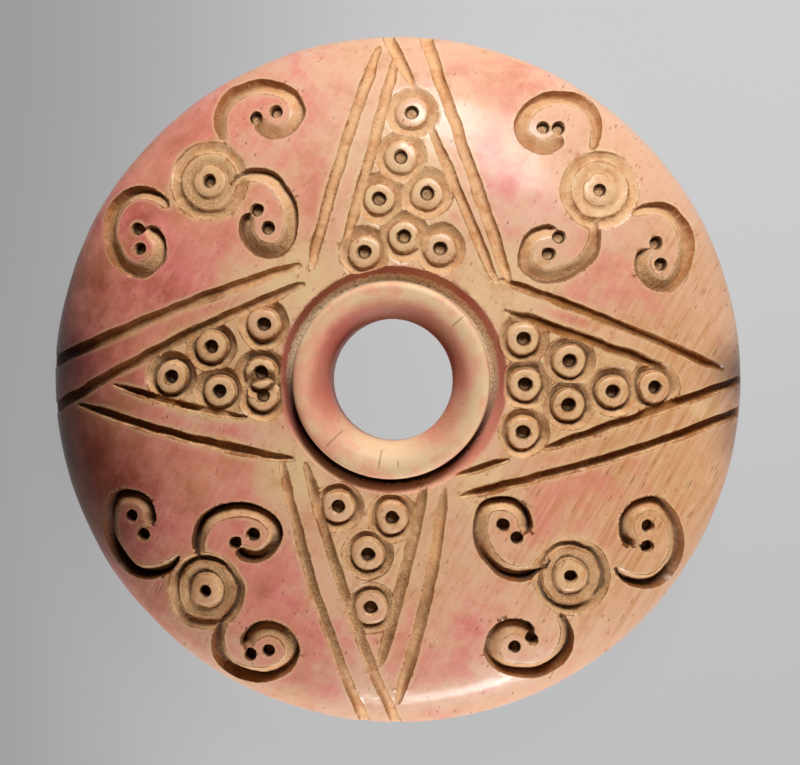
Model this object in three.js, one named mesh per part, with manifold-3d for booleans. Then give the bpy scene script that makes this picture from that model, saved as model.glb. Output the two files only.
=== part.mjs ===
// A bone spindle whorl: a low dome turned from one piece of bone, with a raised collar round the
// spindle hole. A four-armed star of paired graver strokes is cut on the dome, each arm filled with
// rings and dots from a centre bit, and the four fields between the arms hold a scroll each: a
// ringed hub with three tendrils, each curling in round a pair of eyes.
//
// Millimetres, +Z up. The bore's axis is the Z axis and the flat underside lies at Z = 0. The top
// of the star points along +Y.

import * as THREE from 'three';
import { mergeVertices } from 'three/addons/utils/BufferGeometryUtils.js';
import Module from 'manifold-3d';

const wasm = await Module();
wasm.setup();

// Driving dimensions of the turned blank.
const DISC_RADIUS = 17;
const EDGE_HEIGHT = 1.5;            // upright edge below the dome
const DOME_RISE = 6.2;              // the dome's full rise, were there no hole in it
const EDGE_BREAK = 0.4;             // broken arris between edge and underside
const BORE_RADIUS = 3;
const BORE_BREAK = 0.3;             // broken arris where the bore meets the underside
const COLLAR_RADIUS = 4.85;
const COLLAR_TOP = 8;
const COLLAR_BREAK = 0.3;
const FUNNEL_RADIUS = 4.1;          // mouth of the funnel that leads into the bore
const FUNNEL_FOOT = 6.75;
const MOAT_RADIUS = 5.6;            // where the moat round the collar meets the dome
const MOAT_FLOOR = 6.5;
const MOAT_FLOOR_WIDTH = 0.25;

// The tools that cut the carving.
const STROKE_DEPTH = 0.3;
const CLEAR_ABOVE = 0.35;           // how far a tool stands above the surface it cuts
const STAR_CLEAR = 1;               // the same for the star's strokes, which run out over the rim
const DOT_RADIUS = 0.38;
const DOT_DEPTH = 0.55;
const DOT_TAPER = 0.75;
const RING = { inner: 0.78, foot: 0.86, outer: 1.25, depth: 0.28 };
const HUB_INNER = { inner: 0.84, foot: 0.92, outer: 1.25, depth: 0.24 };
const HUB_OUTER = { inner: 1.42, foot: 1.65, outer: 1.96, depth: 0.3 };

// How finely round forms are faceted.
const DISC_SIDES = 36;
const DOME_STEPS = 6;
const RING_SIDES = 9;
const HUB_SIDES = 12;
const DOT_SIDES = 5;
const STROKE_STEP = 2.6;
const TENDRIL_STEPS = 10;

// The star's arms. An arm's strokes and dots are given as [out, across]: the distance out from the
// bore's axis along the arm, and to the left of it. A stroke is its width, then its points.
const ARMS = [
  {
    bearing: 0,
    strokes: [
      [0.6, [5.5, 4.8], [10.1, 2.9], [16.4, 0.4]],
      [0.5, [5.5, 3.4], [10.1, 1.75], [13.4, 0.6]],
      [0.5, [17.3, 0.15], [12.1, -1.5], [7.45, -3.1]],
      [0.45, [5.75, -3.7], [3.1, -4.5]],
      [0.5, [17.3, -1.1], [13.05, -2.6], [7.2, -4.3], [3.3, -5.55]],
    ],
    dots: [[6.4, 2.05], [6.5, -0.2], [6.4, -2.55], [8.65, 0.95], [8.6, -1.2], [10.75, -0.55], [12.8, -0.35]],
  },
  {
    bearing: 90,
    strokes: [
      [0.6, [5.8, 3.95], [11.35, 2.45], [16.4, 0.85]],
      [0.6, [6.65, 2.35], [10.1, 1.4], [15.85, 0]],
      [0.55, [17.3, 0.6], [15.85, -0.15], [14.3, -0.95]],
      [0.55, [12.15, -2.1], [9.85, -3.05], [5.8, -4.55]],
      [0.65, [17.3, -1.3], [12.85, -3.1], [5.7, -5.5]],
    ],
    dots: [[6.3, 1.4], [7.05, -0.55], [6.45, -2.3], [8.9, 0.7], [9.15, -1.65], [10.95, -0.35], [13.15, -0.85]],
  },
  {
    bearing: 180,
    strokes: [
      [0.6, [17.3, -0.6], [11.1, -3.35], [4.6, -5.65]],
      [0.55, [17.3, 1.6], [12.1, -1.25], [4.4, -4.7]],
      [0.45, [13.8, 0.25], [11.1, 1.05], [7.25, 1.8]],
      [0.5, [15.55, 1.15], [11.6, 2.3], [5.05, 3.7]],
    ],
    dots: [[6.35, -2.75], [6.5, -0.35], [6.4, 0.75], [8.95, -1.65], [8.55, 0.55], [10.95, -0.15]],
  },
  {
    bearing: 270,
    strokes: [
      [0.55, [4.8, -5.05], [9.6, -4], [17.2, -1.45]],
      [0.55, [4.15, -4.15], [9.85, -2.45], [17.3, 0.1]],
      [0.55, [5.15, 1.55], [9.35, 0.55], [14.05, -0.9]],
      [0.6, [5.8, 2.35], [9.85, 1.65], [16, -0.15]],
    ],
    dots: [[6.2, -2.7], [6.75, -0.05], [8.55, -1.25], [11.2, -1.15]],
  },
];

// The scrolls between the arms. A tendril leaves its hub on an arc about its first eye and curls in
// round its second: turn is the sweep in degrees, positive to the left, and start the bearing from
// the first eye where it sets out. The radius shrinks from the first of radii to the second. The
// eyes are the compass points, and the tiny pits drilled in them aren't part of this solid.
const SCROLLS = [
  {
    hub: [-9.15, 9.85],
    tendrils: [
      { eyes: [[-6.9, 13], [-5.9, 13.3]], start: 217, turn: -370, radii: [1.85, 0.95] },
      { eyes: [[-6.75, 8.35], [-6.2, 7.45]], start: 133, turn: -331, radii: [1.8, 1.1] },
      { eyes: [[-12.75, 7.45], [-12.6, 6.45]], start: 39, turn: 395, radii: [1.85, 0.95] },
    ],
  },
  {
    hub: [10.1, 9.35],
    tendrils: [
      { eyes: [[8.05, 12.4], [7.3, 12.4]], start: 332, turn: 361, radii: [1.85, 0.95] },
      { eyes: [[8.1, 7], [7.6, 6.2]], start: 26, turn: -312, radii: [1.8, 1.1] },
      { eyes: [[12.85, 6.75], [13.1, 5.7]], start: 126, turn: -353, radii: [1.75, 0.9] },
    ],
  },
  {
    hub: [-9.4, -10.4],
    tendrils: [
      { eyes: [[-7.8, -8], [-6.9, -7.6]], start: 201, turn: -340, radii: [1.85, 1] },
      { eyes: [[-12.4, -7.6], [-13, -6.7]], start: 325, turn: -351, radii: [2, 0.9] },
      { eyes: [[-7.25, -13.65], [-6.25, -13.45]], start: 138, turn: 387, radii: [1.85, 1.05] },
    ],
  },
  {
    hub: [8.7, -9.65],
    tendrils: [
      { eyes: [[6.05, -7.75], [5.4, -7.1]], start: 322, turn: -340, radii: [1.85, 1.05] },
      { eyes: [[12.4, -8.2], [12.45, -7.2]], start: 217, turn: 380, radii: [1.8, 1.05] },
      { eyes: [[6.75, -12.75], [5.9, -13.15]], start: 39, turn: -364, radii: [1.75, 1.05] },
    ],
  },
];

const TENDRIL_WIDTH = [0.66, 0.4];  // at the hub and at the curled tip
const DRIFT = [0.15, 0.6];          // the stretch of a tendril where its centre moves between the eyes

// Height of the dome's surface at a distance from the axis, sunk by a depth along its slope. A
// negative depth lies above the surface.
function domeHeight(distance, depth = 0) {
  const share = distance / (DISC_RADIUS - depth);
  return EDGE_HEIGHT + (DOME_RISE - depth) * Math.sqrt(Math.max(0, 1 - share * share));
}

// Lays a tool, drawn as if the surface were the plane Z = 0, onto the dome.
function drape(geometry) {
  const position = geometry.attributes.position;
  for (let i = 0; i < position.count; i += 1) {
    const distance = Math.hypot(position.getX(i), position.getY(i));
    position.setZ(i, domeHeight(distance, -position.getZ(i)));
  }
  return geometry;
}

// Solid for the boolean cuts, from a closed geometry.
function solid(geometry) {
  geometry.deleteAttribute('normal');
  geometry.deleteAttribute('uv');
  const merged = mergeVertices(geometry);
  const vertProperties = new Float32Array(merged.attributes.position.array);
  const triVerts = new Uint32Array(merged.index.array);
  return new wasm.Manifold(new wasm.Mesh({ numProp: 3, vertProperties, triVerts }));
}

// Turns a closed profile of [radius, height] corners round the Z axis.
function turned(corners, sides) {
  const profile = [...corners, corners[0]].map(([radius, height]) => new THREE.Vector2(radius, height));
  return new THREE.LatheGeometry(profile, sides).rotateX(Math.PI / 2);
}

// The turned blank. Its profile runs out along the underside, up the edge, in over the dome, down
// into the moat, over the collar and down the funnel to the bore.
function blank() {
  const profile = [
    [BORE_RADIUS, BORE_BREAK],
    [BORE_RADIUS + BORE_BREAK, 0],
    [DISC_RADIUS - EDGE_BREAK, 0],
    [DISC_RADIUS, EDGE_BREAK],
  ];
  const domeEnd = Math.acos(MOAT_RADIUS / DISC_RADIUS);
  for (let i = 0; i <= DOME_STEPS; i += 1) {
    const distance = DISC_RADIUS * Math.cos((domeEnd * i) / DOME_STEPS);
    profile.push([distance, domeHeight(distance)]);
  }
  profile.push(
    [COLLAR_RADIUS + MOAT_FLOOR_WIDTH, MOAT_FLOOR],
    [COLLAR_RADIUS, MOAT_FLOOR],
    [COLLAR_RADIUS, COLLAR_TOP - COLLAR_BREAK],
    [COLLAR_RADIUS - COLLAR_BREAK, COLLAR_TOP],
    [FUNNEL_RADIUS, COLLAR_TOP],
    [BORE_RADIUS, FUNNEL_FOOT],
  );
  return solid(turned(profile, DISC_SIDES));
}

// Ring groove of a centre bit: steep against the boss it leaves standing, sloping outwards.
function ringCut([x, y], { inner, foot, outer, depth }, sides) {
  const flare = 1 + CLEAR_ABOVE / depth;
  const corners = [
    [foot, -depth],
    [foot + (outer - foot) * flare, CLEAR_ABOVE],
    [foot + (inner - foot) * flare, CLEAR_ABOVE],
  ];
  return solid(drape(turned(corners, sides).translate(x, y, 0)));
}

// A drilled dot, slightly tapered.
function dotCut([x, y]) {
  const height = DOT_DEPTH + CLEAR_ABOVE;
  const drill = new THREE.CylinderGeometry(DOT_RADIUS, DOT_RADIUS * DOT_TAPER, height, DOT_SIDES);
  drill.rotateX(Math.PI / 2).translate(x, y, CLEAR_ABOVE - height / 2);
  return solid(drape(drill));
}

// A graver's stroke: a three-sided bar, edge down, bent along a plane curve. place gives the point
// and the unit tangent at a share of its length, and width its width there.
function strokeCut(place, width, steps, clear) {
  const bar = new THREE.CylinderGeometry(1, 1, 1, 3, steps);
  const position = bar.attributes.position;
  const cornerSide = Math.sin(Math.PI / 3);
  const cornerHeight = Math.cos(Math.PI / 3);
  for (let i = 0; i < position.count; i += 1) {
    const share = position.getY(i) + 0.5;
    const sunk = (position.getZ(i) + cornerHeight) / (1 + cornerHeight);
    const { point, tangent } = place(share);
    const halfWidth = (width(share) / 2) * (1 + clear / STROKE_DEPTH);
    const side = (position.getX(i) / cornerSide) * halfWidth;
    const height = THREE.MathUtils.lerp(clear, -STROKE_DEPTH, sunk);
    position.setXYZ(i, point.x - tangent.y * side, point.y + tangent.x * side, height);
  }
  return solid(drape(bar));
}

// A place on an arm, from its distance out along the arm's bearing and across to the left.
function onArm(bearing, [out, across]) {
  return new THREE.Vector2(out, across).rotateAround(new THREE.Vector2(), THREE.MathUtils.degToRad(bearing));
}

// One line of the star: a smooth curve through its points.
function starStroke(bearing, [width, ...points]) {
  const line = new THREE.SplineCurve(points.map((point) => onArm(bearing, point)));
  const place = (share) => ({ point: line.getPointAt(share), tangent: line.getTangentAt(share) });
  return strokeCut(place, () => width, Math.ceil(line.getLength() / STROKE_STEP), STAR_CLEAR);
}

// A tendril as a plane curve: a shrinking arc whose centre drifts from the first eye to the second.
class TendrilCurve extends THREE.Curve {
  constructor({ eyes, start, turn, radii }) {
    super();
    [this.from, this.to] = eyes.map(([x, y]) => new THREE.Vector2(x, y));
    this.start = THREE.MathUtils.degToRad(start);
    this.turn = THREE.MathUtils.degToRad(turn);
    this.radii = radii;
  }

  getPoint(share, target = new THREE.Vector2()) {
    const angle = this.start + this.turn * share;
    const shrink = THREE.MathUtils.smoothstep(share, 0, DRIFT[1] + DRIFT[0]);
    const radius = THREE.MathUtils.lerp(this.radii[0], this.radii[1], shrink);
    const centre = this.from.clone().lerp(this.to, THREE.MathUtils.smoothstep(share, ...DRIFT));
    return target.set(radius * Math.cos(angle), radius * Math.sin(angle)).add(centre);
  }
}

function tendrilCut(tendril) {
  const curve = new TendrilCurve(tendril);
  const place = (share) => ({ point: curve.getPoint(share), tangent: curve.getTangent(share) });
  const width = (share) => THREE.MathUtils.lerp(...TENDRIL_WIDTH, share);
  return strokeCut(place, width, TENDRIL_STEPS, CLEAR_ABOVE);
}

function armCuts({ bearing, strokes, dots }) {
  const places = dots.map((dot) => onArm(bearing, dot).toArray());
  return [
    ...strokes.map((stroke) => starStroke(bearing, stroke)),
    ...places.map((place) => ringCut(place, RING, RING_SIDES)),
    ...places.map((place) => dotCut(place)),
  ];
}

function scrollCuts({ hub, tendrils }) {
  return [
    dotCut(hub),
    ringCut(hub, HUB_INNER, HUB_SIDES),
    ringCut(hub, HUB_OUTER, HUB_SIDES),
    ...tendrils.map((tendril) => tendrilCut(tendril)),
  ];
}

const carving = wasm.Manifold.union([...ARMS.flatMap(armCuts), ...SCROLLS.flatMap(scrollCuts)]);
const carved = blank().subtract(carving).getMesh();

const geometry = new THREE.BufferGeometry();
geometry.setAttribute('position', new THREE.BufferAttribute(carved.vertProperties, 3));
geometry.setIndex(new THREE.BufferAttribute(carved.triVerts, 1));
geometry.computeVertexNormals();

const bone = new THREE.MeshStandardMaterial({ color: 0xdca283, roughness: 0.35, metalness: 0 });
const whorl = new THREE.Mesh(geometry, bone);
whorl.name = 'whorl';

const group = new THREE.Group();
group.add(whorl);

export default group;
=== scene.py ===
"""Carved bone spindle whorl: a low dome with a raised collar round its spindle hole.

The whorl is one piece of bone. It is modelled in the order it was made: the blank is turned, the star,
the rings and the scrolls are laid out and cut, the points are drilled, and the surface is polished,
stained and worn. Object places are in metres; the carver's layout is written in millimetres.
"""

import math

import bpy
import numpy as np
from mathutils import Matrix, Vector, noise


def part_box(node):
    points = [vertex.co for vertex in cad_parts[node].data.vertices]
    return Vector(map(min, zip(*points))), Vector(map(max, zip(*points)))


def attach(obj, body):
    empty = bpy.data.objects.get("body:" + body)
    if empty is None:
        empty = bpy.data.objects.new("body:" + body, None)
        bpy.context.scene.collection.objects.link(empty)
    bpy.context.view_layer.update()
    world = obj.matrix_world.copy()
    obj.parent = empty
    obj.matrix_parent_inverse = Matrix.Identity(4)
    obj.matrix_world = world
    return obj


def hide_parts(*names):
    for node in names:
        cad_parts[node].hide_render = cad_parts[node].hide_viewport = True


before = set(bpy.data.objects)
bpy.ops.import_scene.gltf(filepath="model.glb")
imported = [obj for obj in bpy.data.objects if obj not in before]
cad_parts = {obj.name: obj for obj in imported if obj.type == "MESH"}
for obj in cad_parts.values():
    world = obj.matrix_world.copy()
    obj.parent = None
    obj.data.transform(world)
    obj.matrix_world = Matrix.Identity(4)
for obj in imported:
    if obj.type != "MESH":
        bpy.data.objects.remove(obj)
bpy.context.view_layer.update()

# The blank: a slice of thick limb bone, sawn flat below, turned to a low dome, with a collar left
# standing in a moat round the spindle hole. A ring of points is drawn out along the half section,
# row by row, in even square cells, and closed on itself under the disc.
mm = 0.001
low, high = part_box("whorl")
DISC_RADIUS = high.x / mm
COLLAR_TOP = high.z / mm
EDGE_HEIGHT = 1.5
DOME_RISE = 6.2
MOAT_RADIUS = 5.6
SIDES = 192
DOME_SAMPLES = 4000


def dome_height(distance):
    """Height of the uncut dome at a distance from the hole's axis."""
    share = np.clip(distance / DISC_RADIUS, 0, 1)
    return EDGE_HEIGHT + DOME_RISE * np.sqrt(1 - share**2)


def dome_rows():
    """Rows over the dome from the edge in to the moat, spaced as wide as their cells are across."""
    angle = np.linspace(0, math.acos(MOAT_RADIUS / DISC_RADIUS), DOME_SAMPLES)
    reach = DISC_RADIUS * np.cos(angle)
    rise = EDGE_HEIGHT + DOME_RISE * np.sin(angle)
    travel = np.hypot(np.diff(reach), np.diff(rise)) / reach[1:]
    travel = np.concatenate([[0], np.cumsum(travel)])
    count = round(travel[-1] * SIDES / math.tau)
    at = np.interp(np.linspace(0, travel[-1], count + 1), travel, angle)
    return [(DISC_RADIUS * math.cos(a), EDGE_HEIGHT + DOME_RISE * math.sin(a)) for a in at]


def straight(start, end, steps):
    """Rows between two corners of the half section, without the first."""
    shares = [i / steps for i in range(1, steps + 1)]
    return [(start[0] + (end[0] - start[0]) * s, start[1] + (end[1] - start[1]) * s) for s in shares]


def path_rows(corners, step):
    """Rows through corners of the half section, no more than a step apart, without the first."""
    rows = []
    for start, end in zip(corners, corners[1:]):
        rows += straight(start, end, max(1, math.ceil(math.dist(start, end) / step)))
    return rows


underside = path_rows([(3.0, 0.35), (3.08, 0.12), (3.3, 0.0), (16.45, 0.0)], step=1.1)
edge = path_rows([(16.45, 0.0), (16.75, 0.06), (16.94, 0.22), (17.0, 0.5), (17.0, 1.5)], step=0.3)
dome = dome_rows()[1:]
collar_corners = [
    dome[-1],
    (5.52, 7.25),
    (5.4, 7.09),
    (5.28, 6.92),
    (5.15, 6.76),
    (5.03, 6.64),
    (4.93, 6.58),
    (4.87, 6.62),
    (4.82, 7.7),
    (4.8, 7.83),
    (4.72, 7.93),
    (4.58, 7.985),
    (4.36, 8.0),
    (4.12, 7.96),
    (3.88, 7.9),
    (3.64, 7.78),
    (3.42, 7.62),
    (3.24, 7.45),
    (3.1, 7.26),
    (3.02, 7.04),
    (3.0, 6.8),
    (3.0, 6.3),
]
collar = path_rows(collar_corners, step=0.16)
bore = path_rows([(3.0, 6.3), (3.0, 0.35)], step=0.8)[:-1]
rows = [(3.0, 0.35), *underside, *edge, *dome, *collar, *bore]

bpy.ops.object.select_all(action="DESELECT")
bpy.ops.mesh.primitive_circle_add(vertices=SIDES, radius=rows[0][0] * mm, location=(0, 0, rows[0][1] * mm))
whorl = bpy.context.object
whorl.name = "carved_bone_whorl"
bpy.ops.object.transform_apply(location=True, rotation=True, scale=True)
bpy.ops.object.mode_set(mode="EDIT")
bpy.ops.mesh.select_mode(type="EDGE")
bpy.ops.mesh.select_all(action="SELECT")
for (reach, height), (next_reach, next_height) in zip(rows, rows[1:]):
    lift = (0, 0, (next_height - height) * mm)
    bpy.ops.mesh.extrude_edges_move(TRANSFORM_OT_translate={"value": lift})
    widen = next_reach / reach
    bpy.ops.transform.resize(value=(widen, widen, 1), center_override=(0, 0, 0))
bpy.ops.mesh.select_mode(type="VERT")
bpy.ops.mesh.select_all(action="DESELECT")
bpy.ops.mesh.select_non_manifold()
bpy.ops.mesh.bridge_edge_loops()
bpy.ops.mesh.select_all(action="SELECT")
bpy.ops.mesh.normals_make_consistent(inside=False)
bpy.ops.object.mode_set(mode="OBJECT")

# The star: four arms, each of paired graver's strokes that run together towards the rim, some of them
# out over it. A stroke is its width, then its points as (out, across): the distance out along the
# arm from the hole's axis, and to the left of the arm.
ARMS = {
    0: [
        (0.47, (5.3, 4.9), (10.1, 3.1), (16.15, 0.52)),
        (0.5, (5.5, 3.4), (10.1, 1.8), (13.4, 0.6)),
        (0.5, (17.3, 0.05), (12.1, -1.75), (7.45, -3.35)),
        (0.42, (5.75, -3.85), (3.1, -4.65)),
        (0.5, (17.3, -1.4), (13.05, -3.03), (7.2, -4.72), (3.3, -5.7)),
    ],
    90: [
        (0.56, (5.5, 4.05), (11.35, 2.45), (16.4, 0.85)),
        (0.55, (6.65, 2.35), (10.1, 1.4), (15.85, 0.0)),
        (0.55, (17.3, 0.6), (15.85, -0.15), (14.3, -0.95)),
        (0.52, (12.4, -1.8), (9.85, -2.9), (4.85, -5.0)),
        (0.6, (17.3, -1.3), (12.0, -3.2), (4.75, -5.7)),
    ],
    180: [
        (0.58, (17.3, -0.75), (11.1, -3.35), (4.6, -5.65)),
        (0.52, (17.3, 1.6), (12.1, -1.25), (4.4, -4.7)),
        (0.42, (13.8, 0.25), (11.1, 1.05), (7.25, 1.8)),
        (0.5, (15.6, 1.25), (11.6, 2.45), (4.9, 3.9)),
    ],
    270: [
        (0.52, (4.1, -5.45), (9.2, -4.2), (17.2, -1.45)),
        (0.52, (4.15, -4.25), (9.85, -2.6), (17.3, 0.1)),
        (0.55, (5.15, 1.55), (9.35, 0.6), (14.05, -0.75)),
        (0.56, (5.2, 2.5), (9.85, 1.8), (16.0, 0.05)),
    ],
}
STROKE_DEPTH = 0.34
STROKE_WALL = 0.3
STROKE_TIP = 1.3
STROKE_POINTS = 14
TIP_WIDTH = 0.38  # what is left of a stroke's width and depth at the very end of a tip
TIP_DEPTH = 0.35
cuts = []


def on_arm(bearing, out, across):
    """A place on the disc from its place on an arm."""
    turn = math.radians(bearing)
    return (
        out * math.cos(turn) - across * math.sin(turn),
        out * math.sin(turn) + across * math.cos(turn),
    )


def smooth_path(points, steps):
    """Even points on the smooth curve through a few."""
    points = np.array(points)
    gaps = np.hypot(*np.diff(points, axis=0).T)
    at = np.concatenate([[0], np.cumsum(gaps)]) / gaps.sum()
    fine = np.linspace(0, 1, steps)
    return np.stack([np.polyval(np.polyfit(at, c, len(points) - 1), fine) for c in points.T], axis=1)


def smoothstep(start, end, value):
    """0 at start, 1 at end, and a smooth rise between, or a fall where start is the larger."""
    share = np.clip((value - start) / (end - start), 0, 1)
    return share * share * (3 - 2 * share)


def nearest(path, x, y):
    """How far each point is from a path, on which side of it, how far along it the nearest place is,
    and how long the path is."""
    best = np.full(len(x), np.inf)
    side = np.zeros(len(x))
    along = np.zeros(len(x))
    travelled = 0.0
    for (ax, ay), (bx, by) in zip(path, path[1:]):
        length = math.hypot(bx - ax, by - ay)
        share = np.clip(((x - ax) * (bx - ax) + (y - ay) * (by - ay)) / length**2, 0, 1)
        off = np.hypot(x - ax - share * (bx - ax), y - ay - share * (by - ay))
        closer = off < best
        best = np.where(closer, off, best)
        side = np.where(closer, np.sign((bx - ax) * (y - ay) - (by - ay) * (x - ax)), side)
        along = np.where(closer, travelled + share * length, along)
        travelled += length
    return best, side, along, travelled


def stroke(path, width, depth, tips, steep_side=0):
    """Adds a stroke along a path. It narrows and rises out of the bone over a tip at each end, and a tip
    of no length leaves that end open. It has a flat floor between two sloping walls, or it slopes gently
    down to a steep wall on one side: 1 is the left side and -1 the right."""

    def cut(x, y):
        off, side, along, length = nearest(path, x, y)
        rise = np.ones(len(x))
        for gap, tip in zip((along, length - along), tips):
            if tip:
                rise = np.minimum(rise, np.clip(gap / tip, 0, 1))
        here = width * (TIP_WIDTH + (1 - TIP_WIDTH) * np.sqrt(rise))
        inside = here / 2 - off
        if steep_side:
            towards = np.clip(off / here * 2, 0, 1) * side * steep_side
            profile = np.clip((towards + 1) / 1.45, 0, 1) ** 1.3
            profile *= 1 - (1 - np.clip((1 - towards) / 0.32, 0, 1)) ** 2
            mark = np.clip((towards - 0.25) / 0.4, 0, 1) * (inside > -0.02)
        else:
            down = np.clip(inside / (STROKE_WALL * width), 0, 1)
            profile = 1 - (1 - down) ** 2
            mark = np.clip(inside / 0.06, 0, 1)
        sink = depth * (TIP_DEPTH + (1 - TIP_DEPTH) * smoothstep(0, 0.7, rise))
        return inside, sink * profile * (inside > 0), mark

    cuts.append((path.min(axis=0), path.max(axis=0), cut, "steep" if steep_side else "stroke"))


for bearing, strokes in ARMS.items():
    for width, *points in strokes:
        line = smooth_path([on_arm(bearing, *point) for point in points], STROKE_POINTS)
        tips = [0 if point[0] > DISC_RADIUS else STROKE_TIP for point in (points[0], points[-1])]
        stroke(line, width, STROKE_DEPTH, tips)

# Rings and dots fill the arms. Each is cut by one twist of a centre bit, which drills the dot, leaves
# a boss round it, and scoops a ring that is deepest against the boss.
RINGED_DOTS = {
    0: [(6.4, 2.05), (6.5, -0.2), (6.4, -2.55), (8.65, 0.95), (8.6, -1.2), (10.75, -0.55), (12.8, -0.35)],
    90: [
        (6.3, 1.4), (7.05, -0.55), (6.45, -2.3), (8.9, 0.7), (9.15, -1.65), (10.95, -0.35), (13.15, -0.85)
    ],
    180: [(6.35, -2.75), (6.5, -0.35), (6.4, 0.75), (8.95, -1.65), (8.55, 0.55), (10.95, -0.15)],
    270: [(6.2, -2.7), (6.75, -0.05), (8.55, -1.25), (11.2, -1.15)],
}
BOSS_RADIUS = 0.76
RING_RADIUS = 1.27
RING_DEPTH = 0.34
RING_FLOOR = 0.2  # share of the ring's width that is cut to its full depth
RING_LIP = 0.1
WALL = 0.1
DOT_RADIUS = 0.36
DOT_DEPTH = 0.5
dots = []


def dot(x, y, radius=DOT_RADIUS, depth=DOT_DEPTH):
    """Adds a drilled dot: a steep wall and a dished floor."""

    def cut(px, py):
        inside = radius - np.hypot(px - x, py - y)
        down = np.clip(inside / WALL, 0, 1)
        return inside, depth * (0.8 * down + 0.2 * np.clip(inside / radius, 0, 1)), None

    centre = np.array((x, y))
    dots.append((x, y, radius))
    cuts.append((centre - radius, centre + radius, cut, None))


def ring(x, y, inner, outer, depth, floor, lip):
    """Adds a ring groove. It drops steeply at the boss, keeps its depth over a share of its width, floor,
    and rises smoothly to a low outer lip. The boss is a little rounded over."""

    def cut(px, py):
        distance = np.hypot(px - x, py - y)
        inside = np.minimum(distance - inner, outer - distance)
        drop = np.clip((distance - inner) / WALL, 0, 1)
        out = np.clip((distance - inner) / (outer - inner), 0, 1)
        scoop = 1 - np.clip((out - floor) / (1 - floor), 0, 1) ** 1.5
        rise = np.clip((outer - distance) / WALL, 0, 1)
        shoulder = 0.08 * np.clip(1 - (inner - distance) / 0.25, 0, 1) ** 2 * rise
        return inside, np.maximum(shoulder, np.maximum(depth * scoop, lip) * drop * rise), None

    centre = np.array((x, y))
    cuts.append((centre - outer, centre + outer, cut, None))


for bearing, places in RINGED_DOTS.items():
    for out, across in places:
        x, y = on_arm(bearing, out, across)
        ring(x, y, BOSS_RADIUS, RING_RADIUS, RING_DEPTH, RING_FLOOR, RING_LIP)
        dot(x, y)

# The scrolls: in each field between the arms, a hub of two rings with three tendrils. A tendril sets
# out on an arc about its first eye and curls in round the second: it gives both eyes, the bearing
# from the first eye where it starts, its sweep to the left in degrees, and its first and last radius.
# One starts about a place a little above its eye, so as to stay on the disc.
SCROLLS = [
    (
        (-9.13, 9.8),
        ((-6.85, 12.9), (-5.85, 13.2), 217, -370, 1.82, 0.97),
        ((-6.72, 8.35), (-6.17, 7.45), 133, -352, 1.8, 1.05),
        ((-12.7, 7.45), (-12.55, 6.45), 39, 395, 1.85, 0.97),
    ),
    (
        (10.1, 9.35),
        ((8.05, 12.4), (7.3, 12.4), 332, 361, 1.85, 0.95),
        ((8.1, 7.0), (7.6, 6.2), 26, -312, 1.8, 1.1),
        ((12.85, 6.75), (13.1, 5.7), 126, -353, 1.75, 0.9),
    ),
    (
        (-9.33, -10.42),
        ((-7.8, -8.0), (-6.9, -7.6), 201, -340, 1.85, 1.0),
        ((-12.4, -7.6), (-13.0, -6.7), 325, -351, 2.0, 0.9),
        ((-7.15, -13.55), (-6.25, -13.35), 138, 395, 1.65, 1.12, 0.5),
    ),
    (
        (8.7, -9.65),
        ((6.05, -7.75), (5.4, -7.1), 322, -340, 1.85, 1.05),
        ((12.4, -8.2), (12.45, -7.2), 217, 380, 1.8, 1.05),
        ((6.75, -12.75), (5.9, -13.15), 39, -364, 1.75, 1.05),
    ),
]
TENDRIL_WIDTH = 0.74
TENDRIL_DEPTH = 0.44
TENDRIL_POINTS = 40
TENDRIL_TIPS = (1.6, 0.3)
EYE_RADIUS = 0.33
DRIFT = (0.15, 0.6)  # where along a tendril its centre leaves the first eye and reaches the second

# A hub's rings: inner and outer radius, depth, share of the width at full depth, and depth of the lip.
HUB_RINGS = [(0.8, 1.38, 0.17, 0.1, 0.05), (1.42, 1.94, 0.22, 0.35, 0.1)]


def tendril(first, second, start, sweep, first_radius, last_radius, above=0.0):
    """The centre line of a tendril: a shrinking arc whose centre drifts from one eye to the other."""
    share = np.linspace(0, 1, TENDRIL_POINTS)
    angle = np.radians(start + sweep * share)
    radius = first_radius + (last_radius - first_radius) * smoothstep(0, sum(DRIFT), share)
    drift = smoothstep(*DRIFT, share)[:, None]
    centre = np.array((first[0], first[1] + above)) * (1 - drift) + np.array(second) * drift
    return centre + radius[:, None] * np.stack([np.cos(angle), np.sin(angle)], axis=1)


for hub, *tendrils in SCROLLS:
    for groove in HUB_RINGS:
        ring(*hub, *groove)
    dot(*hub, EYE_RADIUS)
    for first, second, *shape in tendrils:
        outside = -1 if shape[1] > 0 else 1
        line = tendril(first, second, *shape)
        stroke(line, TENDRIL_WIDTH, TENDRIL_DEPTH, TENDRIL_TIPS, steep_side=outside)
        dot(*first, EYE_RADIUS)
        dot(*second, EYE_RADIUS)

# The cutting: the blank's cells are made finer wherever a tool bites, the outlines are drawn onto
# the nearest points, and every point is sunk along its own normal as deep as the deepest cut there.
HAND_SHAKE = 0.07
FINE_SHAKE = 0.02
FINE_CELL = 0.085
COARSE_CELL = 0.5
FINE_BAND = 0.06  # how far the fine cells go on beyond an outline
SPLIT_ABOVE = 1.42  # a cell this many times wider than wanted is split
CUT_MARGIN = 1.5  # how far beyond its own path or circle a cut is looked for
FAR_OUTSIDE = -3.0
RIM_FADE = (0.9, 2.8)

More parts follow.
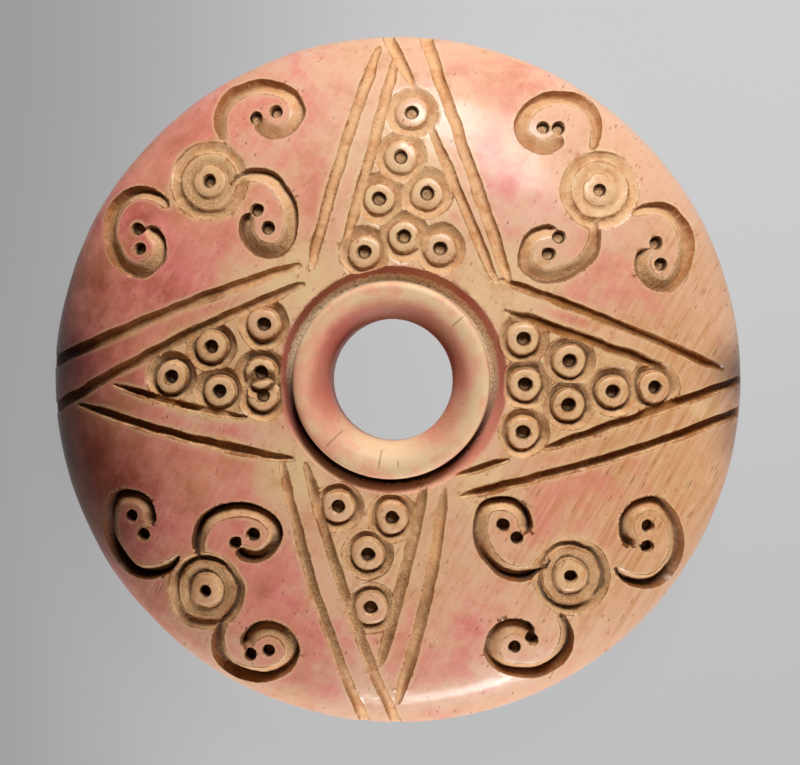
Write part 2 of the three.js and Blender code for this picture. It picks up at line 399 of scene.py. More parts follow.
# Where the hand was lighter or heavier, as soft patches: x, y, radius and change of depth.
DEPTH_PATCHES = [
    (1.0, 11.0, 5.5, -0.5),
    (9.5, 9.5, 5.0, -0.3),
    (-8.5, 11.5, 3.5, -0.25),
    (-0.5, -12.0, 4.5, -0.35),
    (9.5, 3.6, 3.0, -0.3),
    (15.5, -3.0, 3.5, 0.3),
    (-15.5, 1.5, 3.5, 0.4),
    (-10.0, -10.0, 5.0, 0.45),
    (9.0, -10.0, 5.0, 0.3),
]


def wobble(x, y, size, seed):
    """Smooth noise over the disc, with features of about that size in millimetres."""
    return np.array([noise.noise(Vector((a / size, b / size, seed))) for a, b in zip(x, y)])


def carve(x, y):
    """How far each place lies inside the outline of the carving, how deep it is cut, and how far it
    lies in a stroke of the star or on the steep wall of a tendril."""
    shake_x, shake_y = (
        HAND_SHAKE * wobble(x, y, 1.1, seed) + FINE_SHAKE * wobble(x, y, 0.4, seed) for seed in (3.0, 7.0)
    )
    x, y = x + shake_x, y + shake_y
    inside = np.full(len(x), FAR_OUTSIDE)
    depth = np.zeros(len(x))
    marks = {"stroke": np.zeros(len(x)), "steep": np.zeros(len(x))}
    for lowest, highest, cut, kind in cuts:
        near = (x > lowest[0] - CUT_MARGIN) & (x < highest[0] + CUT_MARGIN)
        near &= (y > lowest[1] - CUT_MARGIN) & (y < highest[1] + CUT_MARGIN)
        near = np.flatnonzero(near)
        cut_inside, cut_depth, mark = cut(x[near], y[near])
        inside[near] = np.maximum(inside[near], cut_inside)
        depth[near] = np.maximum(depth[near], cut_depth)
        if kind:
            marks[kind][near] = np.maximum(marks[kind][near], mark)
    return inside, depth, marks


def read(collection, attribute, width, kind=float):
    """An attribute of a mesh's points, edges or faces as an array."""
    values = np.empty(len(collection) * width, dtype=kind)
    collection.foreach_get(attribute, values)
    return values.reshape(-1, width) if width > 1 else values


for level in range(3):
    bpy.ops.object.mode_set(mode="EDIT")
    bpy.ops.mesh.select_mode(type="FACE")
    bpy.ops.mesh.select_all(action="DESELECT")
    bpy.ops.object.mode_set(mode="OBJECT")
    faces = whorl.data.polygons
    centre = read(faces, "center", 3) / mm
    size = np.sqrt(read(faces, "area", 1)) / mm
    on_dome = (np.hypot(centre[:, 0], centre[:, 1]) > MOAT_RADIUS - 0.1) & (centre[:, 2] > 0.5)
    inside = carve(centre[:, 0], centre[:, 1])[0]
    wanted = np.clip(FINE_CELL - inside - FINE_BAND, FINE_CELL, COARSE_CELL)
    faces.foreach_set("select", on_dome & (size > SPLIT_ABOVE * wanted))
    bpy.ops.object.mode_set(mode="EDIT")
    bpy.ops.mesh.subdivide(number_cuts=1, ngon=False)
    bpy.ops.object.mode_set(mode="OBJECT")

points = whorl.data.vertices
place = read(points, "co", 3) / mm
ends = read(whorl.data.edges, "vertices", 2, int)
edge_count = np.bincount(ends.ravel(), minlength=len(points))


def neighbour_mean(values):
    """The mean of each point's neighbours."""
    total = np.bincount(ends[:, 0], values[ends[:, 1]], len(points))
    total += np.bincount(ends[:, 1], values[ends[:, 0]], len(points))
    return total / edge_count


lengths = np.linalg.norm(place[ends[:, 0]] - place[ends[:, 1]], axis=1)
cell = np.bincount(ends[:, 0], lengths, len(points)) + np.bincount(ends[:, 1], lengths, len(points))
cell /= edge_count
reach = np.hypot(place[:, 0], place[:, 1])
movable = (reach > MOAT_RADIUS + 0.05) & (reach < DISC_RADIUS - 0.25) & (place[:, 2] > EDGE_HEIGHT)
movable = np.flatnonzero(movable)
PROBE = 0.02
SNAP_REACH = 0.45  # points this share of a cell from an outline are drawn onto it
LEAST_STEEPNESS = 0.25
for attempt in range(2):
    inside = carve(place[movable, 0], place[movable, 1])[0]
    line = np.where(inside > WALL / 2, WALL, 0)
    close = np.abs(inside - line) < SNAP_REACH * cell[movable]
    movable, inside, line = movable[close], inside[close], line[close]
    x, y = place[movable, 0], place[movable, 1]
    slope_x = (carve(x + PROBE, y)[0] - carve(x - PROBE, y)[0]) / (2 * PROBE)
    slope_y = (carve(x, y + PROBE)[0] - carve(x, y - PROBE)[0]) / (2 * PROBE)
    steepness = np.maximum(slope_x**2 + slope_y**2, LEAST_STEEPNESS)
    place[movable, 0] = x - (inside - line) * slope_x / steepness
    place[movable, 1] = y - (inside - line) * slope_y / steepness
reach = np.hypot(place[:, 0], place[:, 1])
place[movable, 2] = dome_height(reach[movable])

share = np.clip(reach / DISC_RADIUS, 0, 0.9995)
lean = DOME_RISE * share / DISC_RADIUS / np.sqrt(1 - share**2)
normal = np.stack([place[:, 0] / reach * lean, place[:, 1] / reach * lean, np.ones(len(points))], axis=1)
normal /= np.linalg.norm(normal, axis=1)[:, None]
inside, depth, marks = carve(place[:, 0], place[:, 1])
depth *= smoothstep(*RIM_FADE, place[:, 2])
for x, y, radius, change in DEPTH_PATCHES:
    depth *= 1 + change * np.exp(-((place[:, 0] - x) ** 2 + (place[:, 1] - y) ** 2) / radius**2)
COLLAR_FOOT = 4.95
sunk = np.maximum(0, dome_height(reach) - place[:, 2]) * (reach < MOAT_RADIUS)
depth = np.maximum(0, depth - sunk) * (reach > COLLAR_FOOT)
to_dot = np.full(len(points), 9.0)
for x, y, radius in dots:
    to_dot = np.minimum(to_dot, np.hypot(place[:, 0] - x, place[:, 1] - y) * DOT_RADIUS / radius)

# Hand work and wear: cut floors that are never quite flat, lumps of dirt in the dots, a dome that
# waves a little under the light, a rim that is worn back here and there, and a hole drilled askew.
FLOOR_LUMPS = 0.03
DOT_LUMPS = 0.05
WAVES = 0.05
RIPPLES = 0.012
ASKEW_TOP = 0.08
ASKEW_BELOW = 0.12
cut_here = np.clip(depth / 0.15, 0, 1)
lumps = wobble(place[:, 0], place[:, 1], 0.28, 11.0)
above = (place[:, 2] > 0.3) & (reach > MOAT_RADIUS)
depth += above * lumps * (FLOOR_LUMPS * cut_here + DOT_LUMPS * (to_dot < 0.26))
depth += above * WAVES * np.maximum(0, 0.4 + wobble(place[:, 0], place[:, 1], 3.4, 1.0))
depth += above * RIPPLES * (1 + wobble(place[:, 0], place[:, 1], 0.8, 5.0))
place -= normal * depth[:, None]
middle = smoothstep(MOAT_RADIUS, 4.9, reach)
place[:, 0] -= middle * (ASKEW_TOP + ASKEW_BELOW * (1 - place[:, 2] / COLLAR_TOP))
points.foreach_set("co", (place * mm).ravel())
whorl.data.update()
bpy.ops.object.mode_set(mode="EDIT")
bpy.ops.mesh.select_all(action="SELECT")
bpy.ops.mesh.quads_convert_to_tris(quad_method="SHORTEST_DIAGONAL")
bpy.ops.object.mode_set(mode="OBJECT")
points = whorl.data.vertices
top = smoothstep(0.25, 1.0, place[:, 2])


def keep_on_points(name, values):
    """Stores one value for each point of the whorl, for its finish to read."""
    kept = whorl.data.attributes.new(name, "FLOAT", "POINT")
    kept.data.foreach_set("value", values.astype(np.float32))


levelled = depth
for spread in range(5):
    levelled = neighbour_mean(levelled)
keep_on_points("floor", np.clip(depth / 0.13, 0, 1))
keep_on_points("foot", np.clip((depth - levelled) / 0.1, 0, 1))
keep_on_points("lip", np.clip(1 - np.abs(inside - 0.02) / 0.09, 0, 1))
keep_on_points("top", top)
keep_on_points("to_dot", to_dot)
keep_on_points("stroke", marks["stroke"])
keep_on_points("steep", marks["steep"])
keep_on_points("near", np.clip(1 + inside / 0.6, 0, 1) * (reach > MOAT_RADIUS))

# The finish: old bone, polished by handling, with a rose stain and an ochre patina on the open faces, and
# grime, soil and a pale crust in the cuts. Some colour is painted shade as well: in the feet of the cuts
# and the dots' walls, round the hole, and at the rim's dark ends.


def shade(red, green, blue):
    """A colour as its screen values, 0 to 255, made linear."""
    parts = [c / 255 for c in (red, green, blue)]
    return (*[c / 12.92 if c < 0.04045 else ((c + 0.055) / 1.055) ** 2.4 for c in parts], 1.0)


class Finish:
    """A material, and the one way that nodes are added to it."""

    def __init__(self, name):
        self.material = bpy.data.materials.new(name)
        self.material.use_nodes = True
        self.tree = self.material.node_tree
        self.tree.nodes.clear()

    def add(self, kind, settings=None, sockets=None, output=0):
        """Adds a node by its type, settings and input values, and gives back one of its outputs."""
        made = self.tree.nodes.new("ShaderNode" + kind)
        for name, value in (settings or {}).items():
            setattr(made, name, value)
        for name, value in (sockets or {}).items():
            if isinstance(value, Amount):
                self.tree.links.new(value.socket, made.inputs[name])
            else:
                made.inputs[name].default_value = value
        return Amount(self, made.outputs[output]) if made.outputs else None


class Amount:
    """What comes out of a node: a value that varies over the surface, with the usual arithmetic."""

    def __init__(self, finish, socket):
        self.finish = finish
        self.socket = socket

    def work(self, operation, first, second):
        return self.finish.add("Math", {"operation": operation}, {0: first, 1: second})

    def __add__(self, other):
        return self.work("ADD", self, other)

    def __radd__(self, other):
        return self.work("ADD", other, self)

    def __sub__(self, other):
        return self.work("SUBTRACT", self, other)

    def __rsub__(self, other):
        return self.work("SUBTRACT", other, self)

    def __mul__(self, other):
        return self.work("MULTIPLY", self, other)

    def __rmul__(self, other):
        return self.work("MULTIPLY", other, self)


bone = Finish("stained_bone")


def between(value, low, high):
    """0 below low, 1 above high, and a smooth rise between, or the other way round."""
    settings = {"interpolation_type": "SMOOTHSTEP"}
    if low < high:
        return value.finish.add("MapRange", settings, {"Value": value, "From Min": low, "From Max": high})
    sockets = {"Value": value, "From Min": high, "From Max": low, "To Min": 1.0, "To Max": 0.0}
    return value.finish.add("MapRange", settings, sockets)


def paint(under, over, amount):
    """One colour laid over another. The Mix node's colour sockets share their names with others, so
    they go by number: 6 and 7 are the two colours, and output 2 is the mixed one."""
    return amount.finish.add("Mix", {"data_type": "RGBA"}, {0: amount, 6: under, 7: over}, 2)


def on_point(name):
    """One of the values kept on the whorl's points."""
    return bone.add("Attribute", {"attribute_name": name}, output="Fac")


def cloud(where, size, detail=2.0, roughness=0.5):
    """Soft noise with features of about that size in millimetres, from 0 to 1."""
    settings = {"noise_dimensions": "3D"}
    sockets = {"Vector": where, "Scale": 1 / size, "Detail": detail, "Roughness": roughness}
    return bone.add("TexNoise", settings, sockets)


PEACH = shade(234, 182, 152)
CREAM = shade(240, 206, 156)
PINK = shade(232, 132, 124)
ROSE = shade(172, 64, 52)
OCHRE = shade(206, 150, 90)
WORN = shade(240, 200, 148)
FLOOR_CREAM = shade(228, 178, 128)
SAND = shade(198, 148, 100)
PALE_SAND = shade(234, 198, 152)
SOIL = shade(158, 96, 34)
GRIME_AND_SHADE = shade(42, 21, 9)
BROWN = shade(140, 76, 28)
BRICK = shade(172, 84, 72)
MOAT_PINK = shade(208, 132, 114)
MOAT_CRUST = shade(232, 212, 178)
COLLAR_CREAM = shade(236, 200, 156)
COLLAR_PINK = shade(236, 168, 136)
FUNNEL_ROSE = shade(204, 110, 94)
RUST = shade(196, 118, 56)
OCHRE_LINE = shade(150, 84, 30)
RIM_STAIN_AND_SHADE = shade(54, 11, 13)
GRAIN_TURN = math.radians(60)

# Where the colours lie, as soft patches: x, y, radius and strength.
ROSE_PATCHES = [
    (-11.5, 8.5, 6.5, 0.68),
    (-14.8, 7.5, 3.4, 0.5),
    (-11.0, 13.4, 2.6, 0.5),
    (-4.6, 13.8, 3.2, 0.36),
    (-4.0, 8.5, 2.0, 0.35),
    (-16.8, 3.5, 3.2, 0.9),
    (-16.8, -2.5, 3.2, 0.9),
    (-15.5, -6.5, 3.4, 0.8),
    (-11.5, 4.2, 2.6, 0.4),
    (-12.2, 1.9, 2.2, 0.4),
    (-13.2, 0.1, 1.2, 0.6),
    (-14.2, -2.6, 2.0, 0.6),
    (-10.5, -7.0, 6.0, 0.5),
    (-14.2, -5.4, 3.0, 0.5),
    (-9.0, -4.4, 3.0, 0.3),
    (-6.8, -10.6, 2.2, 0.45),
    (-4.5, -13.4, 2.6, 0.65),
    (-12.6, -11.0, 3.0, 0.4),
    (1.6, -14.6, 2.6, 0.35),
    (0.0, -12.0, 2.5, 0.25),
    (5.5, 10.0, 3.8, 0.42),
    (5.8, 14.0, 2.4, 0.3),
    (1.6, 15.8, 2.0, 0.2),
    (11.0, 4.8, 2.6, 0.45),
    (7.6, 4.2, 1.8, 0.3),
    (9.4, 7.0, 2.6, 0.2),
    (8.8, 3.0, 0.9, 0.75),
    (8.5, -5.2, 3.2, 0.34),
    (12.2, -5.2, 2.6, 0.2),
    (4.8, -11.2, 2.6, 0.36),
    (6.2, -7.2, 1.6, 0.3),
    (8.5, -14.0, 2.4, 0.25),
]
OCHRE_PATCHES = [
    (13.5, 1.0, 4.5, 0.8),
    (13.5, -5.5, 4.5, 0.9),
    (10.0, -3.6, 2.6, 0.8),
    (-12.0, -9.0, 3.4, 0.6),
    (10.5, -10.5, 4.5, 0.7),
    (7.0, -6.0, 3.0, 0.6),
    (0.0, -9.0, 3.5, 0.5),
    (-9.2, 9.8, 2.2, 0.5),
    (-9.0, 1.0, 3.5, 0.5),
    (-9.5, -10.3, 2.4, 0.5),
    (15.0, 7.0, 3.0, 0.6),
]
CREAM_PATCHES = [
    (4.9, 4.8, 2.1, 0.97),
    (-4.6, 5.0, 2.1, 0.97),
    (-5.0, -4.6, 1.9, 0.9),
    (4.4, -5.2, 1.8, 0.85),
    (7.4, 5.0, 1.6, 0.6),
    (-7.8, 5.0, 1.5, 0.5),
    (0.0, 7.5, 2.8, 0.65),
    (7.0, 0.0, 2.4, 0.45),
    (-7.0, 0.0, 2.2, 0.4),
    (15.2, -1.4, 1.2, 0.6),
    (10.5, 10.5, 3.0, 0.3),
]
WORN_PATCHES = [
    (8.5, 0.0, 4.6, 0.9),
    (-8.5, 0.0, 4.2, 0.85),
    (0.0, 9.5, 4.6, 0.7),
    (0.0, -8.0, 4.2, 0.6),
    (-9.1, 9.8, 2.4, 0.8),
    (10.1, 9.3, 2.4, 0.7),
    (-9.4, -10.4, 2.4, 0.7),
    (8.7, -9.7, 2.4, 0.7),
]
# The rim's dark ends, west and east: a dark stain, deepened into painted shade where the rim turns away
# from the light.
RIM_STAIN_AND_SHADE_PATCHES = [
    (-17.3, 1.0, 3.3, 0.98),
    (-17.0, -3.6, 3.3, 0.82),
    (-16.8, 5.4, 2.8, 0.6),
    (-15.0, -7.6, 3.4, 0.6),
    (-12.8, -4.8, 3.6, 0.3),
    (-11.5, -11.0, 4.0, 0.25),
    (10.5, -3.2, 2.4, 0.2),
    (17.3, 0.4, 2.0, 0.85),
    (17.2, -3.0, 1.9, 0.6),
]
CRUST_PATCHES = [
    (-2.0, -10.5, 5.5, 0.9),
    (-9.0, 0.5, 4.8, 0.75),
    (8.5, 0.0, 4.2, 0.75),
    (-0.5, 7.5, 3.4, 0.5),
    (-13.5, 6.8, 3.0, 0.9),
    (-9.5, 9.0, 2.6, 0.8),
    (-5.8, 7.2, 1.8, 0.8),
    (-7.5, 14.0, 2.0, 0.5),
    (-10.0, -9.5, 4.5, 0.6),
    (8.7, -9.7, 4.0, 0.65),
    (12.8, 5.0, 1.6, 0.8),
    (8.6, 5.8, 1.4, 0.6),
]
GRIME_PATCHES = [
    (9.0, 0.0, 5.5, 0.9),
    (-9.0, 0.0, 6.2, 0.95),
    (-10.0, -9.5, 6.0, 0.95),
    (9.0, -9.7, 6.0, 0.95),
    (0.0, -9.5, 4.0, 0.6),
    (-9.0, 9.5, 5.0, 0.55),
    (9.5, 9.0, 4.5, 0.25),
    (0.0, 9.5, 4.5, 0.45),
]
SOIL_PATCHES = [
    (9.5, 3.2, 5.0, 0.95),
    (12.5, -4.0, 5.0, 0.85),
    (15.8, -0.5, 3.0, 0.9),
    (-16.6, 2.0, 2.2, 0.8),
    (-12.0, -2.6, 4.5, 0.9),
    (-9.0, 5.5, 4.0, 0.4),
    (5.5, -5.4, 2.4, 0.5),
    (-0.5, -11.0, 5.0, 0.35),
]
# Where the moat's slope is brick-red: a stain, deepened into painted shade where the slope faces away from
# the light.
BRICK_AND_SHADE_PATCHES = [
    (-3.9, 3.9, 3.4, 0.95),
    (0.0, 5.4, 3.0, 0.95),
    (3.8, 3.9, 2.4, 0.85),
    (-5.4, 0.5, 2.2, 0.8),
    (5.4, 1.5, 2.0, 0.35),
]
MOAT_PINK_PATCHES = [
    (5.4, 0.0, 3.2, 0.95),
    (4.4, -3.5, 2.2, 0.9),
    (-5.2, -1.6, 1.8, 0.8),
    (3.8, 3.9, 2.2, 0.4),
]
# The collar's painted shadow, with grime, in the moat on its near side.
COLLAR_SHADOW_AND_GRIME_PATCHES = [
    (-3.9, -3.4, 2.2, 0.95),
    (0.0, -5.0, 3.4, 1.0),
    (3.9, -3.4, 2.6, 0.95),
    (-5.0, -1.2, 1.2, 0.6),
]
# Where the funnel's rose lies: a stain, deepened into painted shade on the side that faces away from the
# light.
FUNNEL_STAIN_AND_SHADE_PATCHES = [
    (-2.5, 2.5, 3.0, 0.95),
    (1.5, 3.3, 2.4, 0.7),
    (3.4, 0.6, 1.8, 0.65),
    (-3.5, -0.6, 1.5, 0.6),
    (-2.6, -2.2, 1.2, 0.1),
    (2.9, -2.2, 1.5, 0.5),
]


def patches(places):
    """How strongly a set of soft patches lies on each point of the whorl."""
    left = np.ones(len(points))
    for x, y, radius, strength in places:
        away = np.hypot(place[:, 0] - x, place[:, 1] - y) / radius
        left *= 1 - strength * np.exp(-(away**2))
    return 1 - left


for name, places in {
    "rose": ROSE_PATCHES,
    "ochre": OCHRE_PATCHES,
    "cream": CREAM_PATCHES,
    "worn": WORN_PATCHES,
    "rim_stain_and_shade": RIM_STAIN_AND_SHADE_PATCHES,
    "crust": CRUST_PATCHES,
    "grime": GRIME_PATCHES,
    "soil": SOIL_PATCHES,
    "moat_brick_and_shade": BRICK_AND_SHADE_PATCHES,
    "moat_pink": MOAT_PINK_PATCHES,
    "collar_shadow_and_grime": COLLAR_SHADOW_AND_GRIME_PATCHES,
    "funnel_stain_and_shade": FUNNEL_STAIN_AND_SHADE_PATCHES,
}.items():
    keep_on_points(name, patches(places))
keep_on_points("reach", np.hypot(place[:, 0] + middle * ASKEW_TOP, place[:, 1]))

own_place = bone.add("TexCoord", output="Object")
in_mm = bone.add("VectorMath", {"operation": "SCALE"}, {0: own_place, "Scale": 1 / mm})
floor = on_point("floor")
foot = on_point("foot")
lip = on_point("lip")
to_dot = on_point("to_dot")
reach_here = on_point("reach")
top_side = on_point("top")
grime = on_point("grime")

# The grain runs across the disc at a slant: fine streaks, and short dark pores along them. The
# pattern runs straight down through the bone, and the streaks fade on the steep rim.
unturn = {"Vector": in_mm, "Angle": -GRAIN_TURN}
along_grain = bone.add("VectorRotate", {"rotation_type": "Z_AXIS"}, unturn)


def grain_place(along, across):
    """Places for a pattern with that many features to a millimetre along and across the grain."""
    return bone.add("VectorMath", {"operation": "MULTIPLY"}, {0: along_grain, 1: (along, across, 0.0)})


height = bone.add("SeparateXYZ", {}, {0: in_mm}, "Z")
fade = 0.3 + 0.7 * between(height, 1.6, 3.4)
streaks = (cloud(grain_place(0.25, 4.0), 1.0, 3.0, 0.6) - 0.5) * fade + 0.5
fine_place = grain_place(0.8, 6.5)
pore_gap = bone.add("TexVoronoi", {"feature": "F1"}, {"Vector": fine_place, "Scale": 1.0})
pore_pick = bone.add("TexVoronoi", {"feature": "F1"}, {"Vector": fine_place, "Scale": 1.0}, "Color")
pick = bone.add("SeparateColor", {}, {0: pore_pick})
fleck_place = grain_place(1.6, 3.6)
fleck_gap = bone.add("TexVoronoi", {"feature": "F1"}, {"Vector": fleck_place, "Scale": 1.0})
mottle = cloud(in_mm, 1.5, 4.0, 0.65)
drift = cloud(in_mm, 5.0, 3.0, 0.55)
specks = cloud(in_mm, 0.16, 2.0, 0.6)
crumbs = cloud(in_mm, 0.13, 3.0, 0.75)
grains = cloud(in_mm, 0.07, 2.0, 0.6)

rose = on_point("rose") + (mottle - 0.5) * 1.2 + (streaks - 0.5) * 0.25 + (drift - 0.5) * 0.5
ochre = on_point("ochre") + (streaks - 0.5) * 1.1 + (mottle - 0.5) * 0.4
cream = on_point("cream") + (mottle - 0.5) * 0.4
land = paint(PEACH, OCHRE, between(ochre, 0.2, 1.3))
land = paint(land, PINK, between(rose, 0.12, 0.62))
land = paint(land, ROSE, between(rose, 0.5, 1.1))
worn = on_point("near") * on_point("worn") + (mottle - 0.5) * 0.5
land = paint(land, WORN, between(worn, 0.1, 0.7) * 0.85)
land = paint(land, CREAM, between(cream, 0.18, 0.8) * 0.9)
edge = between(on_point("near") + (mottle - 0.5) * 1.0, 0.7, 1.0)
land = paint(land, CREAM, edge * 0.5)
smears = cloud(in_mm, 0.7, 4.0, 0.75)
land = paint(land, OCHRE, between(smears, 0.48, 0.66) * between(worn, 0.1, 0.7) * 0.55)

pores = between(pore_gap, 0.26, 0.12) * between(pick, 0.42, 0.3)
porous = between(on_point("ochre") + (drift - 0.5) * 0.8, 0.1, 0.9) * 0.75 + 0.15
land = paint(land, BROWN, pores * porous * 0.85)
land = paint(land, RUST, between(streaks, 0.5, 0.7) * on_point("ochre") * 0.7)
land = paint(land, CREAM, between(streaks, 0.46, 0.28) * on_point("ochre") * 0.5)
flecks = between(fleck_gap, 0.22, 0.1) * between(cloud(in_mm, 0.9, 2.0), 0.45, 0.58)
land = paint(land, BRICK, flecks * 0.9)
stain_cloud = cloud(in_mm, 1.1, 5.0, 0.7)
land = paint(land, RUST, between(stain_cloud, 0.52, 0.7) * (0.12 + 0.35 * on_point("near")))

# Round the hole: a cream collar, rose inside it and specked with brown, the rose deepened into painted
# shade where the funnel faces away from the light; beside it a moat with a brick-red slope on one side,
# deepened into painted shade where it faces away from the light, and a pink one on the other; a crust at
# the collar's foot, and under the collar's near side its painted shadow, with grime.
COLLAR_END = 4.84
MOAT_START = 4.9
inner = between(reach_here, MOAT_START, COLLAR_END)
blush = between(drift + (mottle - 0.5) * 0.9, 0.36, 0.6)
land = paint(land, paint(COLLAR_CREAM, COLLAR_PINK, blush), inner)
# Inside the collar, rose and brick: a stain, and painted shade where the funnel faces away from the light.
funnel_stain_and_shade = on_point("funnel_stain_and_shade") * inner
collar_edge = reach_here + (mottle - 0.5) * 1.1 + (specks - 0.5) * 0.25
land = paint(land, FUNNEL_ROSE, between(collar_edge, 4.3, 3.6) * funnel_stain_and_shade)
land = paint(land, BRICK, between(collar_edge, 4.0, 3.1) * funnel_stain_and_shade * 0.55)
collar_specks = between(specks, 0.6, 0.72) * between(reach_here, 4.1, 3.5)
land = paint(land, BROWN, collar_specks * (0.15 + 0.6 * funnel_stain_and_shade))


def crack(azimuth, start, end):
    """A hair crack along a radius of the collar, between two distances from the axis."""
    turn = {"Vector": in_mm, "Angle": -math.radians(azimuth)}
    turned = bone.add("VectorRotate", {"rotation_type": "Z_AXIS"}, turn)
    along = bone.add("SeparateXYZ", {}, {0: turned}, "X")
    across = bone.add("SeparateXYZ", {}, {0: turned}, "Y") + (crumbs - 0.5) * 0.12
    ends_here = between(along, start, start + 0.1) * between(along, end, end - 0.3)
    return between(across * across, 0.003, 0.0006) * ends_here


cracks = crack(225, 3.4, 4.75) + crack(261, 3.4, 4.5) + crack(274, 3.9, 4.4) + crack(42, 3.9, 4.8)
land = paint(land, BROWN, cracks * 0.5)
slope_end = between(reach_here + (specks - 0.5) * 0.35, 5.74, 5.5)
slope = between(reach_here, COLLAR_END, MOAT_START) * slope_end
land = paint(land, MOAT_PINK, slope * on_point("moat_pink"))
# Brick-red on the moat's slope: a stain, and painted shade where it faces away from the light.
land = paint(land, BRICK, slope * on_point("moat_brick_and_shade"))
# Under the collar's near side the moat is painted near-black: the collar's painted shadow, with grime.
collar_shadow_and_grime = on_point("collar_shadow_and_grime")
crust_edge = reach_here + 0.18 * collar_shadow_and_grime + (crumbs - 0.5) * 0.4
beside = between(reach_here, 4.82, 4.88) * between(crust_edge, 5.3, 5.14)
moat_crust = paint(MOAT_CRUST, GRIME_AND_SHADE, between(crumbs, 0.52, 0.62) * 0.7)
moat_crust = paint(moat_crust, SAND, between(grains, 0.5, 0.6) * 0.6)
land = paint(land, moat_crust, beside * (1 - collar_shadow_and_grime) * 0.9)
land = paint(land, GRIME_AND_SHADE, beside * collar_shadow_and_grime)

cut = paint(land, FLOOR_CREAM, floor * 0.85)
cut = paint(cut, BROWN, between(crumbs, 0.5, 0.72) * floor * 0.3)
cut = paint(cut, RUST, between(stain_cloud, 0.46, 0.62) * floor * 0.45)
crust = between(on_point("crust") + (mottle - 0.5) * 0.8, 0.3, 0.8) * between(floor, 0.5, 1.0)
crust_colour = paint(SAND, PALE_SAND, between(crumbs, 0.48, 0.62))
crust_colour = paint(crust_colour, SOIL, between(grains, 0.55, 0.66) * 0.75)
crust_colour = paint(crust_colour, SOIL, between(mottle, 0.4, 0.65) * grime * 0.4)
cut = paint(cut, crust_colour, crust * 0.9)
dusty = between(worn + (crumbs - 0.5) * 0.6, 0.45, 1.0) * on_point("crust")
cut = paint(cut, crust_colour, dusty * (1 - floor) * 0.7)
soil = on_point("stroke") * (on_point("soil") + (crumbs - 0.5) * 0.9 + (mottle - 0.5) * 1.1)
cut = paint(cut, SOIL, between(soil, 0.3, 0.85) * floor * 0.9)
# The deepest feet of the cuts are darkened: grime, and painted shade in the recesses.
foot_grime_and_shade = between(foot + (crumbs - 0.5) * 0.9 + (mottle - 0.5) * 0.8, 0.3, 0.8) * (0.1 + 0.8 * grime)
cut = paint(cut, GRIME_AND_SHADE, foot_grime_and_shade * (1 - 0.55 * on_point("stroke")) * 0.85)
steep = between(on_point("steep") + (crumbs - 0.5) * 0.9 + (mottle - 0.5) * 1.2, 0.4, 0.8)
cut = paint(cut, BROWN, steep * 0.45)
cut = paint(cut, GRIME_AND_SHADE, steep * between(grime, 0.15, 0.95) * 0.9)
lip_line = between(lip + (crumbs - 0.5) * 0.7 + (mottle - 0.5) * 1.5, 0.42, 0.95)
cut = paint(cut, paint(OCHRE_LINE, BROWN, grime), lip_line * (0.7 + 0.25 * grime))
# The dots' walls are painted dark: grime, and painted shade down the holes.
cut = paint(cut, GRIME_AND_SHADE, between(to_dot, 0.36, 0.3) * 0.95)
fill = between(to_dot + (crumbs - 0.5) * 0.16, 0.29, 0.2)
cut = paint(cut, crust_colour, fill * (0.95 - 0.65 * grime))
# The rim's dark ends are painted near-black red: a dark stain, and painted shade.
rim_stain_and_shade = on_point("rim_stain_and_shade") + (mottle - 0.5) * 0.25
colour = paint(cut, RIM_STAIN_AND_SHADE, between(rim_stain_and_shade, 0.08, 1.05) * 0.92)

# Below, the sawn bone is plain: cream and ochre, a little of the stain, pores, and fine saw marks.
saw_place = bone.add("VectorMath", {"operation": "MULTIPLY"}, {0: in_mm, 1: (0.12, 3.4, 0.0)})
saw_marks = cloud(saw_place, 1.0, 3.0, 0.6)
sawn = paint(PEACH, CREAM, between(drift + (mottle - 0.5) * 0.6, 0.35, 0.65))
sawn = paint(sawn, OCHRE, between(ochre, 0.2, 1.3) * 0.7)
sawn = paint(sawn, PINK, between(rose, 0.6, 1.3) * 0.45)
sawn = paint(sawn, RUST, between(saw_marks, 0.5, 0.72) * 0.35)
sawn = paint(sawn, BROWN, pores * 0.7)
colour = paint(sawn, colour, top_side)

rough = 0.38 + (streaks - 0.5) * 0.16 + 0.25 * floor + 0.25 * crust + 0.15 * inner + 0.15 * (1 - top_side)
raised = 0.006 * (streaks - 0.5) + 0.006 * (cloud(in_mm, 0.5, 3.0) - 0.5) - 0.03 * pores * porous
raised = raised + floor * 0.02 * (crumbs - 0.5)
raised = raised + crust * 0.05 * (crumbs - 0.5) + crust * 0.02 * (grains - 0.5)
turned_lines = bone.add("CombineXYZ", {}, {0: reach_here * 6, 1: drift * 2})
turning = cloud(turned_lines, 1.0, 3.0, 0.7) - 0.5
raised = raised + beside * 0.06 * (crumbs - 0.5) + 0.004 * turning * between(reach_here, 12.5, 15.5)
raised = raised * top_side + 0.02 * (1 - top_side) * (saw_marks - 0.5)
bump = bone.add("Bump", {}, {"Height": raised, "Strength": 1.0, "Distance": mm})
shell = {
    "Base Color": colour,
    "Roughness": rough,
    "Normal": bump,
    "IOR": 1.5,
    "Specular IOR Level": 0.3,
    "Coat Weight": 0.36 * (1 - floor) * (1 - inner),
    "Coat Roughness": 0.15,
    "Subsurface Weight": 0.08,
    "Subsurface Radius": (0.8, 0.4, 0.25),
    "Subsurface Scale": 0.0008,
}
surface = bone.add("BsdfPrincipled", {}, shell)
bone.add("OutputMaterial", {}, {"Surface": surface})
whorl.data.materials.append(bone.material)

SMOOTH_BELOW = 42
bpy.ops.object.select_all(action="DESELECT")
whorl.select_set(True)
bpy.context.view_layer.objects.active = whorl
bpy.ops.object.shade_smooth_by_angle(angle=math.radians(SMOOTH_BELOW))
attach(whorl, "root")
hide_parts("whorl")
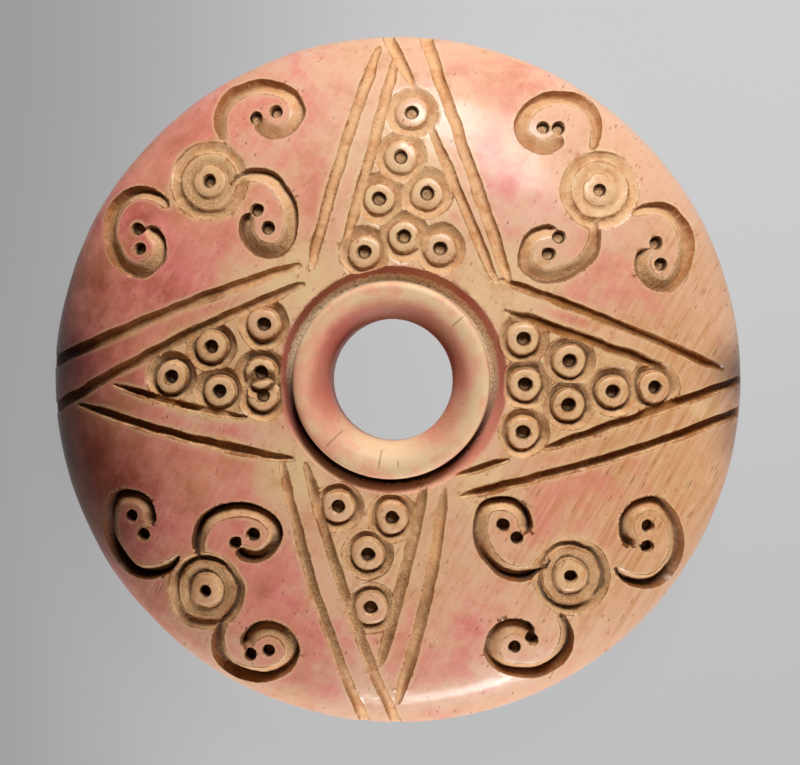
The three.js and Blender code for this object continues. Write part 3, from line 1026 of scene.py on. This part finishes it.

# The table: a plain board that the whorl lies on. It is dark itself and glows: painted light, grey on the
# left and paler to the right. It is set a hair below the underside, so that the two flat faces don't share
# one plane.
TABLE_SIZE = 0.6
TABLE_GAP = 0.02
TABLE_DIM_GLOW = shade(147, 147, 147)
bpy.ops.mesh.primitive_plane_add(size=TABLE_SIZE, location=(0, 0, -TABLE_GAP * mm))
table = bpy.context.object
table.name = "table"
board = Finish("glowing_board")
board_place = board.add("TexCoord", output="Object")
to_right = board.add("SeparateXYZ", {}, {0: board_place}, "X")
nearer = between(board.add("SeparateXYZ", {}, {0: board_place}, "Y"), 0.017, -0.017)
# The board's glow is painted light, grey on the left and paler to the right.
far_glow = paint(TABLE_DIM_GLOW, shade(201, 201, 202), between(to_right, -0.024, 0.008))
near_glow = paint(TABLE_DIM_GLOW, shade(187, 187, 188), between(to_right, -0.026, -0.004))
glow = paint(far_glow, near_glow, nearer)
lit = {"Base Color": shade(34, 34, 35), "Roughness": 0.9, "Emission Color": glow, "Emission Strength": 1.0}
board.add("OutputMaterial", {}, {"Surface": board.add("BsdfPrincipled", {}, lit)})
table.data.materials.append(board.material)

# The studio: a tall soft panel beyond the disc and a low strip on the near side, both facing the whorl,
# in a room of even dim light.


def panel(name, azimuth, elevation, distance, width, height, power):
    """A soft panel that faces the whorl, at a distance in metres."""
    turn, rise = math.radians(azimuth), math.radians(elevation)
    level = math.cos(rise)
    from_whorl = Vector((math.cos(turn) * level, math.sin(turn) * level, math.sin(rise)))
    bpy.ops.object.light_add(type="AREA", location=from_whorl * distance)
    made = bpy.context.object
    made.name = name
    made.rotation_euler = from_whorl.to_track_quat("Z", "Y").to_euler()
    made.data.shape = "RECTANGLE"
    made.data.size, made.data.size_y = width, height
    made.data.energy = power


panel("tall_panel", 75, 41, 0.5, 0.24, 0.18, 2.9)
panel("low_strip", -79, 4.4, 0.5, 0.28, 0.075, 2.5)
room = bpy.data.worlds.new("room")
room.use_nodes = True
background = room.node_tree.nodes["Background"]
background.inputs["Color"].default_value = shade(215, 204, 190)
background.inputs["Strength"].default_value = 0.03
bpy.context.scene.world = room
bpy.context.scene.view_settings.view_transform = "Standard"

# The camera looks down at the whorl from half a metre, and stands a little to its right, so that the
# hole is seen very slightly aslant.
CAMERA_DISTANCE = 0.5
LEAN_RIGHT = 2.2
LEAN_AWAY = 0.4
aim = Vector((0.124, -0.149, EDGE_HEIGHT)) * mm
back = Vector((math.sin(math.radians(LEAN_RIGHT)), math.sin(math.radians(LEAN_AWAY)), 1)).normalized()
bpy.ops.object.camera_add(location=aim + back * CAMERA_DISTANCE)
camera = bpy.context.object
camera.name = "camera"
right = Vector((0, 1, 0)).cross(back).normalized()
camera.rotation_euler = Matrix((right, back.cross(right), back)).transposed().to_euler()
camera.data.lens = 454.5
camera.data.sensor_width = 36
camera.data.clip_end = 5
bpy.context.scene.camera = camera
